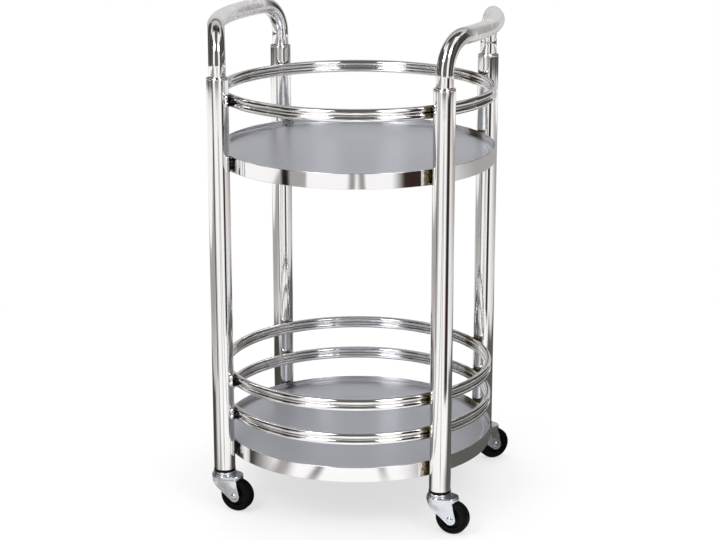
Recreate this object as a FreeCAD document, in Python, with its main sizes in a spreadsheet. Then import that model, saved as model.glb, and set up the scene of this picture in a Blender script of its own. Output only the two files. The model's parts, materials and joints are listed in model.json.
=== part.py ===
import FreeCAD, Part
import math
import os

import Sketcher

# Round two-tier serving trolley in polished stainless steel, in millimetres.
# Origin: on the floor, under the centre of the shelves. +Z is up, +X runs to the right, the front faces -Y.
# Each caster is drawn in its own frame, on the floor under its swivel axis, with the wheel trailing to +X.

SIZES = {
    # posts
    "post_diameter": 32,
    "post_wall": 1.2,
    "post_length": 594,
    "post_spacing_across": 334,
    "post_spacing_deep": 302,
    "post_edge_round": 0.4,
    # collars that reduce a post to the handle tube
    "collar_lip_height": 3.5,
    "collar_lip_round": 2.4,
    "collar_spigot_length": 30,
    # handles
    "handle_diameter": 25,
    "handle_wall": 1.2,
    "handle_rise": 70,
    "handle_bend_radius": 48,
    "handle_splay_angle": 20,
    "handle_insertion": 42,
    # ring rails, in touching pairs
    "rail_diameter": 9.5,
    "rail_wall": 0.9,
    "rail_standoff": 2.1,
    "rail_seam_gap": 0.3,
    "rail_seam_angle": 110,
    "top_pair_below_post_top": 33.3,
    "middle_pair_above_shelf": 95.5,
    "bottom_pair_above_shelf": 43,
    "seat_width": 10,
    "seat_height": 14,
    "seat_bite": 3,
    # shelves
    "upper_shelf_height": 522,
    "lower_shelf_height": 82.5,
    "band_height": 23,
    "band_wall": 1.5,
    "band_ledge": 8,
    "band_standoff": 2.6,
    "band_edge_round": 0.6,
    "tray_thickness": 1,
    "tray_below_rim": 8,
    "tray_edge_drop": 1.5,
    "tray_edge_slope": 1.5,
    "tray_rail_margin": 2,
    # caster sockets, stems and bearings
    "socket_flange_height": 4,
    "socket_flange_overhang": 0.4,
    "socket_spigot_length": 36,
    "stem_diameter": 11,
    "stem_length": 34,
    "stem_nose": 1.5,
    "pivot_diameter": 7,
    "pivot_head_diameter": 12,
    "pivot_head_height": 1.7,
    "cup_diameter": 33,
    "cup_wall": 1.2,
    "cup_edge_round": 1,
    "ball_diameter": 3.2,
    "ball_to_cup_wall": 0.7,
    # caster forks
    "crown_rim_margin": 0.1,
    "crown_tail_margin": 1,
    "crown_tail_setback": 6,
    "crown_edge_round": 1.2,
    "race_rim_width": 1.2,
    "race_rim_height": 1.6,
    "fork_thickness": 2,
    "fork_skirt_depth": 4.9,
    "leg_nose_reach": 14,
    "leg_waist_reach": 4,
    "leg_waist_drop": 14.9,
    "leg_heel_overhang": 2,
    "foot_radius": 8.5,
    # caster wheels and axles
    "wheel_diameter": 50,
    "wheel_width": 20,
    "wheel_headroom": 4.9,
    "wheel_side_gap": 1.5,
    "wheel_trail": 21,
    "tyre_depth": 6.5,
    "tyre_shoulder": 3,
    "hub_rim_inset": 1.5,
    "hub_rim_depth": 3,
    "hub_web_width": 7,
    "hub_boss_wall": 3.1,
    "hub_boss_side_gap": 0.4,
    "axle_diameter": 6,
    "axle_head_overhang": 2,
    "axle_head_height": 2.6,
    "axle_head_round": 2.2,
    "sleeve_wall": 1.2,
    "front_left_trail_angle": -8,
    "front_right_trail_angle": -8,
    "rear_left_trail_angle": 155,
    "rear_right_trail_angle": 40,
    # clearances
    "slip_clearance": 0.1,
    "running_clearance": 0.08,
    "bearing_clearance": 0.25,
}
BALLS_PER_RACE = 12
FULL_TURN = 360
SAME_PLACE = 0.001
LEAST_CUT = 1
CORNERS = {"front_left": (-1, -1), "front_right": (1, -1), "rear_left": (-1, 1), "rear_right": (1, 1)}
SIDES = {"left": -1, "right": 1}

doc = FreeCAD.newDocument("serving_trolley")
sub_parts = []


class Size:
    """A length or angle as a number, with the sheet expression that gives it."""

    def __init__(self, value, text):
        self.value = value
        self.text = text

    @staticmethod
    def of(number):
        return number if isinstance(number, Size) else Size(number, f"{number:g}")

    def __add__(self, other):
        other = Size.of(other)
        return Size(self.value + other.value, f"({self.text} + {other.text})")

    def __sub__(self, other):
        other = Size.of(other)
        return Size(self.value - other.value, f"({self.text} - {other.text})")

    def __mul__(self, other):
        other = Size.of(other)
        return Size(self.value * other.value, f"({self.text} * {other.text})")

    def __truediv__(self, other):
        other = Size.of(other)
        return Size(self.value / other.value, f"({self.text} / {other.text})")

    def __neg__(self):
        return Size(-self.value, f"(-1 * {self.text})")

    def root(self):
        return Size(math.sqrt(self.value), f"sqrt({self.text})")


def make_sheet():
    """Write the driving dimensions in a spreadsheet and return them by name."""
    sheet = doc.addObject("Spreadsheet::Sheet", "Sizes")
    for row, (name, number) in enumerate(SIZES.items(), start=1):
        sheet.set(f"A{row}", name)
        sheet.set(f"B{row}", str(number))
        sheet.setAlias(f"B{row}", name)
    doc.recompute()
    return {name: Size(float(sheet.get(name)), f"Sizes.{name}") for name in SIZES}


size = make_sheet()

# Heights and radii that follow from the driving dimensions.
wheel_radius = size["wheel_diameter"] / 2
crown_underside = size["wheel_diameter"] + size["wheel_headroom"]
crown_top = crown_underside + size["fork_thickness"]
cup_ceiling = crown_top + size["ball_diameter"] + size["bearing_clearance"] * 2
cup_top = cup_ceiling + size["cup_wall"]
post_bottom = cup_top + size["socket_flange_height"]
post_top = post_bottom + size["post_length"]
post_radius = size["post_diameter"] / 2
post_bore_radius = post_radius - size["post_wall"]
post_across = size["post_spacing_across"] / 2
post_deep = size["post_spacing_deep"] / 2
post_circle_radius = (post_across * post_across + post_deep * post_deep).root()
handle_radius = size["handle_diameter"] / 2
rail_tube_radius = size["rail_diameter"] / 2
rail_radius = post_circle_radius - post_radius - size["rail_standoff"] - rail_tube_radius
band_radius = post_circle_radius - post_radius - size["band_standoff"]
band_inner_radius = band_radius - size["band_wall"]
lower_rim_top = size["lower_shelf_height"] + size["band_height"]
pair_heights = {
    "top_rail": post_top - size["top_pair_below_post_top"],
    "middle_rail": lower_rim_top + size["middle_pair_above_shelf"],
    "bottom_rail": lower_rim_top + size["bottom_pair_above_shelf"],
}
shelf_heights = {"upper_shelf": size["upper_shelf_height"], "lower_shelf": size["lower_shelf_height"]}
cup_radius = size["cup_diameter"] / 2
race_bore_radius = cup_radius + size["bearing_clearance"] * 2
race_radius = race_bore_radius + size["race_rim_width"]
crown_radius = race_radius + size["crown_edge_round"] + size["crown_rim_margin"]
fork_half_gap = size["wheel_width"] / 2 + size["wheel_side_gap"]
fork_half_width = fork_half_gap + size["fork_thickness"]
crown_tail_radius = fork_half_width + size["crown_tail_margin"]
crown_tail_reach = size["wheel_trail"] - size["crown_tail_setback"]
axle_radius = size["axle_diameter"] / 2
axle_hole_radius = axle_radius + size["slip_clearance"]
sleeve_radius = axle_hole_radius + size["sleeve_wall"]
hub_bore_radius = sleeve_radius + size["running_clearance"]
tyre_seat_radius = wheel_radius - size["tyre_depth"]


# ---- helpers ----

def bind(thing, path, length):
    """Tie one property or constraint of a document object to the sheet."""
    thing.setExpression(path, Size.of(length).text)


def place(thing, across=0, deep=0, up=0, turn=0):
    """Move an object, and turn it about the vertical, by sheet sizes."""
    thing.Placement = FreeCAD.Placement(FreeCAD.Vector(0, 0, 0), FreeCAD.Rotation(FreeCAD.Vector(0, 0, 1), 1))
    bind(thing, ".Placement.Base.x", across)
    bind(thing, ".Placement.Base.y", deep)
    bind(thing, ".Placement.Base.z", up)
    bind(thing, ".Placement.Rotation.Angle", turn)


def add_body(name):
    body = doc.addObject("PartDesign::Body", name)
    body.Label = name
    sub_parts.append(body)
    return body


def origin_plane(body, role):
    return next(feature for feature in body.Origin.OriginFeatures if feature.Role == role)


def add_sketch(body, name, role, offset=(0, 0, 0)):
    """Empty sketch on one of the body's own planes, moved by sizes in the sketch's own directions."""
    sketch = body.newObject("Sketcher::SketchObject", name)
    sketch.AttachmentSupport = [(origin_plane(body, role), "")]
    sketch.MapMode = "FlatFace"
    for direction, distance in zip("xyz", offset):
        bind(sketch, f".AttachmentOffset.Base.{direction}", distance)
    return sketch


def pin_point(sketch, geometry, point, across, up):
    """Fix a point of the sketch at two sizes from the sketch's origin."""
    for kind, distance in (("DistanceX", across), ("DistanceY", up)):
        distance = Size.of(distance)
        index = sketch.addConstraint(Sketcher.Constraint(kind, -1, 1, geometry, point, distance.value))
        bind(sketch, f"Constraints[{index}]", distance)


def set_radius(sketch, geometry, radius):
    index = sketch.addConstraint(Sketcher.Constraint("Radius", geometry, radius.value))
    bind(sketch, f"Constraints[{index}]", radius)


def draw_outline(sketch, corners):
    """Closed outline of straight sides through (across, up) corners."""
    points = [FreeCAD.Vector(Size.of(across).value, Size.of(up).value, 0) for across, up in corners]
    count = len(points)
    for index in range(count):
        sketch.addGeometry(Part.LineSegment(points[index], points[(index + 1) % count]), False)
    for index, (across, up) in enumerate(corners):
        sketch.addConstraint(Sketcher.Constraint("Coincident", index, 2, (index + 1) % count, 1))
        pin_point(sketch, index, 1, across, up)


def draw_circle(sketch, across, up, radius):
    centre = FreeCAD.Vector(Size.of(across).value, Size.of(up).value, 0)
    geometry = sketch.addGeometry(Part.Circle(centre, FreeCAD.Vector(0, 0, 1), radius.value), False)
    pin_point(sketch, geometry, 3, across, up)
    set_radius(sketch, geometry, radius)


def belt_normal(start, end):
    """Outward normal of the straight run of a belt from one peg to the next, counterclockwise."""
    run_x = end[0] - start[0]
    run_y = end[1] - start[1]
    length = math.hypot(run_x, run_y)
    along = (start[2] - end[2]) / length
    across = math.sqrt(1 - along * along)
    return (along * run_x + across * run_y) / length, (along * run_y - across * run_x) / length


def draw_belt(sketch, pegs):
    """Taut outline round pegs (across, up, radius), counterclockwise. A peg with no radius is a corner."""
    numbers = [[Size.of(part).value for part in peg] for peg in pegs]
    count = len(pegs)
    normals = [belt_normal(numbers[index], numbers[(index + 1) % count]) for index in range(count)]

    def touch(peg, normal):
        return FreeCAD.Vector(peg[0] + peg[2] * normal[0], peg[1] + peg[2] * normal[1], 0)

    for index in range(count):
        start = touch(numbers[index], normals[index])
        end = touch(numbers[(index + 1) % count], normals[index])
        sketch.addGeometry(Part.LineSegment(start, end), False)
    for index, (across, up, radius) in enumerate(pegs):
        before = (index - 1) % count
        if radius == 0:
            sketch.addConstraint(Sketcher.Constraint("Coincident", before, 2, index, 1))
            pin_point(sketch, index, 1, across, up)
            continue
        centre = FreeCAD.Vector(numbers[index][0], numbers[index][1], 0)
        circle = Part.Circle(centre, FreeCAD.Vector(0, 0, 1), radius.value)
        first = math.atan2(normals[before][1], normals[before][0])
        last = math.atan2(normals[index][1], normals[index][0])
        if last < first:
            last += 2 * math.pi
        arc = sketch.addGeometry(Part.ArcOfCircle(circle, first, last), False)
        sketch.addConstraint(Sketcher.Constraint("Tangent", before, 2, arc, 1))
        sketch.addConstraint(Sketcher.Constraint("Tangent", arc, 2, index, 1))
        pin_point(sketch, arc, 3, across, up)
        set_radius(sketch, arc, radius)


def pad(body, sketch, name, length, backwards=False):
    feature = body.newObject("PartDesign::Pad", name)
    feature.Profile = sketch
    feature.Reversed = backwards
    bind(feature, "Length", length)
    return feature


def pocket(body, sketch, name, depth, backwards=False):
    """Cut a sketch into the body, and check that it took material away."""
    doc.recompute()
    before = body.Shape.Volume
    feature = body.newObject("PartDesign::Pocket", name)
    feature.Profile = sketch
    feature.Reversed = backwards
    bind(feature, "Length", depth)
    doc.recompute()
    if body.Shape.Volume > before - LEAST_CUT:
        raise RuntimeError(f"{body.Label}: {name} cuts nothing")
    return feature


def revolve(body, sketch, name, axis="V_Axis", angle=FULL_TURN):
    feature = body.newObject("PartDesign::Revolution", name)
    feature.Profile = sketch
    feature.ReferenceAxis = (sketch, [axis])
    bind(feature, "Angle", angle)
    return feature


def revolved_body(name, corners, role="XZ_Plane", axis="V_Axis", offset=(0, 0, 0)):
    """Body turned from one straight-sided outline."""
    body = add_body(name)
    sketch = add_sketch(body, name + "_profile", role, offset)
    draw_outline(sketch, corners)
    revolve(body, sketch, name + "_turned", axis)
    return body


def round_edges(body, name, radius, wanted):
    """Fillet the edges of the body's present shape that the test picks."""
    doc.recompute()
    base = body.Tip
    edges = [f"Edge{number}" for number, edge in enumerate(base.Shape.Edges, start=1) if wanted(edge)]
    feature = body.newObject("PartDesign::Fillet", name)
    feature.Base = (base, edges)
    bind(feature, "Radius", radius)
    return feature


def ring_at(radius, height):
    """Test for a level circular edge of this radius at this height in the body's own frame."""
    def wanted(edge):
        curve = edge.Curve
        if not isinstance(curve, Part.Circle):
            return False
        level = abs(curve.Center.z - Size.of(height).value) < SAME_PLACE
        return level and abs(curve.Radius - Size.of(radius).value) < SAME_PLACE
    return wanted


# ---- frame: posts, collars and handles ----

def make_post(corner, across_sign, deep_sign):
    """Straight tube from the caster socket up to the collar."""
    body = add_body(f"post_{corner}")
    sketch = add_sketch(body, f"post_{corner}_section", "XY_Plane")
    draw_circle(sketch, 0, 0, post_radius)
    draw_circle(sketch, 0, 0, post_bore_radius)
    pad(body, sketch, f"post_{corner}_tube", size["post_length"])
    top_edge = ring_at(post_radius, size["post_length"])
    round_edges(body, f"post_{corner}_edge", size["post_edge_round"], top_edge)
    place(body, post_across * across_sign, post_deep * deep_sign, post_bottom)


def make_collar(corner, across_sign, deep_sign):
    """Reducing collar: a rounded lip on the post's end and a spigot down its bore, round the handle's leg."""
    bore = handle_radius + size["slip_clearance"]
    spigot = post_bore_radius - size["slip_clearance"]
    body = revolved_body(f"collar_{corner}", [
        (bore, -size["collar_spigot_length"]),
        (spigot, -size["collar_spigot_length"]),
        (spigot, 0),
        (post_radius, 0),
        (post_radius, size["collar_lip_height"]),
        (bore, size["collar_lip_height"]),
    ])
    rim = ring_at(post_radius, size["collar_lip_height"])
    round_edges(body, f"collar_{corner}_lip", size["collar_lip_round"], rim)
    place(body, post_across * across_sign, post_deep * deep_sign, post_top)


def handle_path(side):
    """Line down the middle of the handle tube: leg, bend, bowed bar, bend, leg."""
    splay = math.radians(size["handle_splay_angle"].value)
    bend = size["handle_bend_radius"].value
    across = post_across.value
    deep = post_deep.value
    foot = post_top.value - size["handle_insertion"].value
    bar = post_top.value + size["handle_rise"].value
    bar_across = across + bend * math.sin(splay)
    bar_deep = deep - bend * math.cos(splay)
    bow_radius = bar_deep / math.sin(splay)
    bow_middle = bar_across + bow_radius * (1 - math.cos(splay))
    diagonal = math.sqrt(0.5)
    knee_across = across + bend * (1 - diagonal) * math.sin(splay)
    knee_deep = deep - bend * (1 - diagonal) * math.cos(splay)
    knee_up = bar - bend * (1 - diagonal)

    def point(out, back, up):
        return FreeCAD.Vector(side * out, back, up)

    front_leg = Part.LineSegment(point(across, -deep, foot), point(across, -deep, bar - bend))
    front_bend = Part.Arc(point(across, -deep, bar - bend), point(knee_across, -knee_deep, knee_up),
                          point(bar_across, -bar_deep, bar))
    bow = Part.Arc(point(bar_across, -bar_deep, bar), point(bow_middle, 0, bar),
                   point(bar_across, bar_deep, bar))
    rear_bend = Part.Arc(point(bar_across, bar_deep, bar), point(knee_across, knee_deep, knee_up),
                         point(across, deep, bar - bend))
    rear_leg = Part.LineSegment(point(across, deep, bar - bend), point(across, deep, foot))
    return Part.Wire([edge.toShape() for edge in (front_leg, front_bend, bow, rear_bend, rear_leg)])


def make_handle(name, side):
    """One bent tube that joins the front and rear post of a side and bows outward between them."""
    path = handle_path(side)
    start = path.Vertexes[0].Point
    rods = []
    for radius in (handle_radius, handle_radius - size["handle_wall"]):
        circle = Part.makeCircle(radius.value, start, FreeCAD.Vector(0, 0, 1))
        rods.append(path.makePipeShell([Part.Wire(circle)], True, True))
    feature = doc.addObject("Part::Feature", f"handle_{name}")
    feature.Label = f"handle_{name}"
    feature.Shape = rods[0].cut(rods[1])
    sub_parts.append(feature)


# ---- frame: rails and the seats that join them to the posts ----

def make_rail(name, height):
    """Closed ring of thin tube whose ends meet at a narrow seam."""
    body = add_body(name)
    sketch = add_sketch(body, name + "_section", "XZ_Plane")
    draw_circle(sketch, rail_radius, 0, rail_tube_radius)
    draw_circle(sketch, rail_radius, 0, rail_tube_radius - size["rail_wall"])
    seam = size["rail_seam_gap"] / rail_radius * math.degrees(1)
    revolve(body, sketch, name + "_ring", angle=Size.of(FULL_TURN) - seam)
    place(body, up=height, turn=size["rail_seam_angle"])


def post_angle(across_sign, deep_sign):
    """Direction of a post from the middle of the trolley, as an expression in degrees."""
    across = post_across * across_sign
    deep = post_deep * deep_sign
    return Size(math.degrees(math.atan2(deep.value, across.value)), f"atan2({deep.text}; {across.text})")


def make_blocks(name, inner_radius, height):
    """Four blocks, one at each post, from a radius out to the middle of the post."""
    blocks = []
    for corner, signs in CORNERS.items():
        block = doc.addObject("Part::Box", f"{name}_{corner}")
        bind(block, "Length", post_circle_radius - inner_radius)
        bind(block, "Width", size["seat_width"])
        bind(block, "Height", size["seat_height"])
        turn = post_angle(*signs)
        out_x = Size(math.cos(math.radians(turn.value)), f"cos({turn.text})")
        out_y = Size(math.sin(math.radians(turn.value)), f"sin({turn.text})")
        half = size["seat_width"] / 2
        place(block, inner_radius * out_x + half * out_y, inner_radius * out_y - half * out_x,
              height - size["seat_height"] / 2, turn)
        blocks.append(block)
    group = doc.addObject("Part::Compound", name + "_blocks")
    group.Links = blocks
    return group


def make_post_rods():
    """The four posts as solid rods, to shape what lies against them."""
    rods = []
    for corner, (across_sign, deep_sign) in CORNERS.items():
        rod = doc.addObject("Part::Cylinder", f"rod_{corner}")
        bind(rod, "Radius", post_radius)
        bind(rod, "Height", size["post_length"])
        place(rod, post_across * across_sign, post_deep * deep_sign, post_bottom)
        rods.append(rod)
    return rods


def cut_by(name, base, tools):
    """Take several tools away from a base, one after the other."""
    for number, tool in enumerate(tools, start=1):
        cut = doc.addObject("Part::Cut", f"{name}_cut_{number}")
        cut.Base = base
        cut.Tool = tool
        base = cut
    return base


def make_seats(post_rods):
    """Saddles between each rail pair and each post, and blocks between each band and each post."""
    saddles = []
    for pair, height in pair_heights.items():
        tubes = []
        for level, sign in (("upper", 1), ("lower", -1)):
            tube = doc.addObject("Part::Torus", f"{pair}_{level}_tool")
            bind(tube, "Radius1", rail_radius)
            bind(tube, "Radius2", rail_tube_radius)
            place(tube, up=height + rail_tube_radius * sign)
            tubes.append(tube)
        blocks = make_blocks(pair + "_seat", rail_radius + size["seat_bite"], height)
        saddles.append(cut_by(pair + "_seat", blocks, tubes + post_rods))
    group = doc.addObject("Part::Compound", "rail_seats")
    group.Links = saddles
    sub_parts.append(group)

    pads = []
    for shelf, height in shelf_heights.items():
        drum = doc.addObject("Part::Cylinder", shelf + "_tool")
        bind(drum, "Radius", band_radius)
        bind(drum, "Height", size["band_height"])
        place(drum, up=height)
        middle = height + size["band_height"] / 2
        blocks = make_blocks(shelf + "_seat", band_radius - size["seat_bite"], middle)
        pads.append(cut_by(shelf + "_seat", blocks, [drum] + post_rods))
    group = doc.addObject("Part::Compound", "shelf_seats")
    group.Links = pads
    sub_parts.append(group)


# ---- frame: shelves ----

def make_band(name, height):
    """Upright rim of a shelf, with a ledge turned inward at its foot."""
    wall = size["band_wall"]
    body = revolved_body(name + "_band", [
        (band_inner_radius - size["band_ledge"], 0),
        (band_radius, 0),
        (band_radius, size["band_height"]),
        (band_inner_radius, size["band_height"]),
        (band_inner_radius, wall),
        (band_inner_radius - size["band_ledge"], wall),
    ])
    outer_edge = ring_at(band_radius, size["band_height"])
    inner_edge = ring_at(band_inner_radius, size["band_height"])
    foot_edge = ring_at(band_radius, 0)
    round_edges(body, name + "_band_edges", size["band_edge_round"],
                lambda edge: outer_edge(edge) or inner_edge(edge) or foot_edge(edge))
    place(body, up=height)


def make_tray(name, height):
    """Sheet pan: flat top inside the rails, a small step down at its edge, and a skirt on the band's ledge."""
    sheet = size["tray_thickness"]
    top = size["band_height"] - size["tray_below_rim"]
    land = top - size["tray_edge_drop"]
    flat_radius = rail_radius - rail_tube_radius - size["tray_rail_margin"]
    land_radius = flat_radius + size["tray_edge_slope"]
    skirt_radius = band_inner_radius - size["slip_clearance"]
    body = revolved_body(name + "_tray", [
        (0, top - sheet),
        (flat_radius, top - sheet),
        (land_radius, land - sheet),
        (skirt_radius - sheet, land - sheet),
        (skirt_radius - sheet, size["band_wall"]),
        (skirt_radius, size["band_wall"]),
        (skirt_radius, land),
        (land_radius, land),
        (flat_radius, top),
        (0, top),
    ])
    place(body, up=height)


# ---- casters: what stays with the post ----

def make_socket(corner, spot):
    """Plastic socket in the post's foot: a flange under the tube and a bored spigot that grips the stem."""
    bore = size["stem_diameter"] / 2 + size["slip_clearance"]
    flange = post_radius + size["socket_flange_overhang"]
    spigot = post_bore_radius - size["slip_clearance"]
    body = revolved_body(f"caster_socket_{corner}", [
        (bore, cup_top),
        (flange, cup_top),
        (flange, post_bottom),
        (spigot, post_bottom),
        (spigot, post_bottom + size["socket_spigot_length"]),
        (bore, post_bottom + size["socket_spigot_length"]),
    ])
    place(body, *spot)


def make_stem(corner, spot):
    """Grip stem in the socket, its pivot pin through the fork's crown, and the riveted head below."""
    stem = size["stem_diameter"] / 2
    pin = size["pivot_diameter"] / 2
    head = size["pivot_head_diameter"] / 2
    head_top = crown_underside - size["bearing_clearance"]
    stem_top = cup_top + size["stem_length"]
    body = revolved_body(f"caster_stem_{corner}", [
        (0, head_top - size["pivot_head_height"]),
        (head, head_top - size["pivot_head_height"]),
        (head, head_top),
        (pin, head_top),
        (pin, cup_top),
        (stem, cup_top),
        (stem, stem_top - size["stem_nose"]),
        (stem - size["stem_nose"], stem_top),
        (0, stem_top),
    ])
    place(body, *spot)


def make_cup(corner, spot):
    """Pressed bearing cup that roofs the balls, clamped between the stem's shoulder and the socket."""
    inside = cup_radius - size["cup_wall"]
    hole = size["pivot_diameter"] / 2 + size["slip_clearance"]
    skirt_foot = crown_top + size["bearing_clearance"]
    body = revolved_body(f"caster_cup_{corner}", [
        (hole, cup_ceiling),
        (inside, cup_ceiling),
        (inside, skirt_foot),
        (cup_radius, skirt_foot),
        (cup_radius, cup_top),
        (hole, cup_top),
    ])
    round_edges(body, f"caster_cup_{corner}_edge", size["cup_edge_round"], ring_at(cup_radius, cup_top))
    place(body, *spot)


# ---- casters: what swivels ----

def make_balls(corner, spot):
    """Ring of bearing balls on the fork's crown."""
    radius = size["ball_diameter"] / 2
    height = crown_top + size["bearing_clearance"] + radius
    reach = cup_radius - size["cup_wall"] - size["ball_to_cup_wall"] - radius
    balls = []
    for number in range(BALLS_PER_RACE):
        turn = math.radians(FULL_TURN / BALLS_PER_RACE * number)
        ball = doc.addObject("Part::Sphere", f"ball_{corner}_{number + 1}")
        bind(ball, "Radius", radius)
        place(ball, reach * math.cos(turn), reach * math.sin(turn), height)
        balls.append(ball)
    group = doc.addObject("Part::Compound", f"caster_balls_{corner}")
    group.Links = balls
    place(group, *spot)
    sub_parts.append(group)


def make_fork(corner, spot):
    """Pressed fork: a long crown with a skirt and a race rim, and two legs down to the axle."""
    sheet = size["fork_thickness"]
    skirt_foot = crown_underside - size["fork_skirt_depth"]
    name = f"caster_fork_{corner}"
    body = add_body(name)

    outline = add_sketch(body, name + "_crown_outline", "XY_Plane", (0, 0, skirt_foot))
    draw_belt(outline, [(0, 0, crown_radius), (crown_tail_reach, 0, crown_tail_radius)])
    pad(body, outline, name + "_crown", size["fork_skirt_depth"] + sheet)
    round_edges(body, name + "_crown_edges", size["crown_edge_round"],
                lambda edge: abs(edge.BoundBox.ZMin - crown_top.value) < SAME_PLACE)

    hollow = add_sketch(body, name + "_hollow_outline", "XY_Plane", (0, 0, skirt_foot))
    draw_belt(hollow, [(0, 0, crown_radius - sheet), (crown_tail_reach, 0, crown_tail_radius - sheet)])
    pocket(body, hollow, name + "_hollow", size["fork_skirt_depth"], backwards=True)

    rim = add_sketch(body, name + "_race_outline", "XY_Plane", (0, 0, crown_top))
    draw_circle(rim, 0, 0, race_bore_radius)
    draw_circle(rim, 0, 0, race_radius)
    pad(body, rim, name + "_race_rim", size["race_rim_height"])

    leg_top = crown_underside + sheet / 2
    leg = add_sketch(body, name + "_leg_outline", "XZ_Plane", (0, 0, fork_half_gap))
    draw_belt(leg, [
        (size["wheel_trail"], wheel_radius, size["foot_radius"]),
        (size["wheel_trail"] + size["leg_heel_overhang"], leg_top, 0),
        (-size["leg_nose_reach"], leg_top, 0),
        (-size["leg_waist_reach"], crown_underside - size["leg_waist_drop"], 0),
    ])
    front_leg = pad(body, leg, name + "_leg", sheet)
    both_legs = body.newObject("PartDesign::Mirrored", name + "_legs")
    both_legs.Originals = [front_leg]
    both_legs.MirrorPlane = (origin_plane(body, "XZ_Plane"), [""])
    body.Tip = both_legs

    pivot = add_sketch(body, name + "_pivot_outline", "XY_Plane", (0, 0, crown_top))
    draw_circle(pivot, 0, 0, size["pivot_diameter"] / 2 + size["running_clearance"])
    pocket(body, pivot, name + "_pivot_hole", sheet)

    axle = add_sketch(body, name + "_axle_outline", "XZ_Plane", (0, 0, fork_half_width))
    draw_circle(axle, size["wheel_trail"], wheel_radius, axle_hole_radius)
    pocket(body, axle, name + "_axle_hole", fork_half_width * 2)
    place(body, *spot)


def axle_line_body(name, corners, spot):
    """Body turned about the wheel's axle. Corners are (along the axle, out from it)."""
    body = revolved_body(name, corners, "YZ_Plane", "H_Axis", (0, wheel_radius, size["wheel_trail"]))
    place(body, *spot)
    return body


def make_axle(corner, spot):
    """Rivet through both legs and the sleeve, with a low domed head at each end."""
    end = fork_half_width + size["axle_head_height"]
    head = axle_radius + size["axle_head_overhang"]
    name = f"caster_axle_{corner}"
    body = axle_line_body(name, [
        (-end, 0),
        (end, 0),
        (end, head),
        (fork_half_width, head),
        (fork_half_width, axle_radius),
        (-fork_half_width, axle_radius),
        (-fork_half_width, head),
        (-end, head),
    ], spot)
    round_edges(body, name + "_domes", size["axle_head_round"],
                lambda edge: isinstance(edge.Curve, Part.Circle)
                and abs(abs(edge.Curve.Center.y) - end.value) < SAME_PLACE)


def make_sleeve(corner, spot):
    """Tube on the axle, clamped between the legs, that the wheel turns on."""
    axle_line_body(f"caster_sleeve_{corner}", [
        (-fork_half_gap, axle_hole_radius),
        (fork_half_gap, axle_hole_radius),
        (fork_half_gap, sleeve_radius),
        (-fork_half_gap, sleeve_radius),
    ], spot)


# ---- casters: what spins ----

def make_hub(corner, spot):
    """Plastic wheel centre: boss on the sleeve, thin web and a rim inside the tyre."""
    boss = hub_bore_radius + size["hub_boss_wall"]
    boss_end = fork_half_gap - size["hub_boss_side_gap"]
    web = size["hub_web_width"] / 2
    rim_end = size["wheel_width"] / 2 - size["hub_rim_inset"]
    rim_out = tyre_seat_radius
    rim_in = rim_out - size["hub_rim_depth"]
    axle_line_body(f"wheel_hub_{corner}", [
        (-boss_end, hub_bore_radius),
        (boss_end, hub_bore_radius),
        (boss_end, boss),
        (web, boss),
        (web, rim_in),
        (rim_end, rim_in),
        (rim_end, rim_out),
        (-rim_end, rim_out),
        (-rim_end, rim_in),
        (-web, rim_in),
        (-web, boss),
        (-boss_end, boss),
    ], spot)


def make_tyre(corner, spot):
    """Solid rubber tyre with rounded shoulders, moulded round the hub."""
    half = size["wheel_width"] / 2
    name = f"wheel_tyre_{corner}"
    body = axle_line_body(name, [
        (-half, tyre_seat_radius),
        (half, tyre_seat_radius),
        (half, wheel_radius),
        (-half, wheel_radius),
    ], spot)
    round_edges(body, name + "_shoulders", size["tyre_shoulder"],
                lambda edge: isinstance(edge.Curve, Part.Circle)
                and abs(edge.Curve.Radius - wheel_radius.value) < SAME_PLACE)


# ---- the whole trolley ----

for corner, signs in CORNERS.items():
    make_post(corner, *signs)
    make_collar(corner, *signs)
for name, side in SIDES.items():
    make_handle(name, side)
for name, height in pair_heights.items():
    make_rail(name + "_upper", height + rail_tube_radius)
    make_rail(name + "_lower", height - rail_tube_radius)
make_seats(make_post_rods())
for name, height in shelf_heights.items():
    make_band(name, height)
    make_tray(name, height)
for corner, (across_sign, deep_sign) in CORNERS.items():
    spot = (post_across * across_sign, post_deep * deep_sign, 0, size[f"{corner}_trail_angle"])
    for make_piece in (make_socket, make_stem, make_cup, make_balls, make_fork, make_axle, make_sleeve,
                       make_hub, make_tyre):
        make_piece(corner, spot)
doc.recompute()

for thing in doc.Objects:
    if "Invalid" in thing.State or "Error" in thing.State:
        raise RuntimeError(f"{thing.Label}: {thing.State}")
os.makedirs("parts", exist_ok=True)
for part in sub_parts:
    if part.Shape.isNull() or not part.Shape.isValid() or not part.Shape.Solids:
        raise RuntimeError(f"{part.Label}: bad shape")
for part in sub_parts:
    part.Shape.exportStep(f"parts/{part.Label}.step")
    print(f"{part.Label}: {len(part.Shape.Solids)} solid(s), {part.Shape.Volume:.1f} mm3")
print(f"{len(sub_parts)} sub-parts")
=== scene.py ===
# %% [markdown]
# # A round serving trolley, dressed for its picture
# The trolley is a polished steel frame: four posts, two round shelves, thin ring rails, two bent handles and four
# small casters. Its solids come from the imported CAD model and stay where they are. This script gives most pieces a
# finely rounded mesh, gives all of them a finish with grain, haze and small wear, and lights them in a plain white
# studio.

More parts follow.
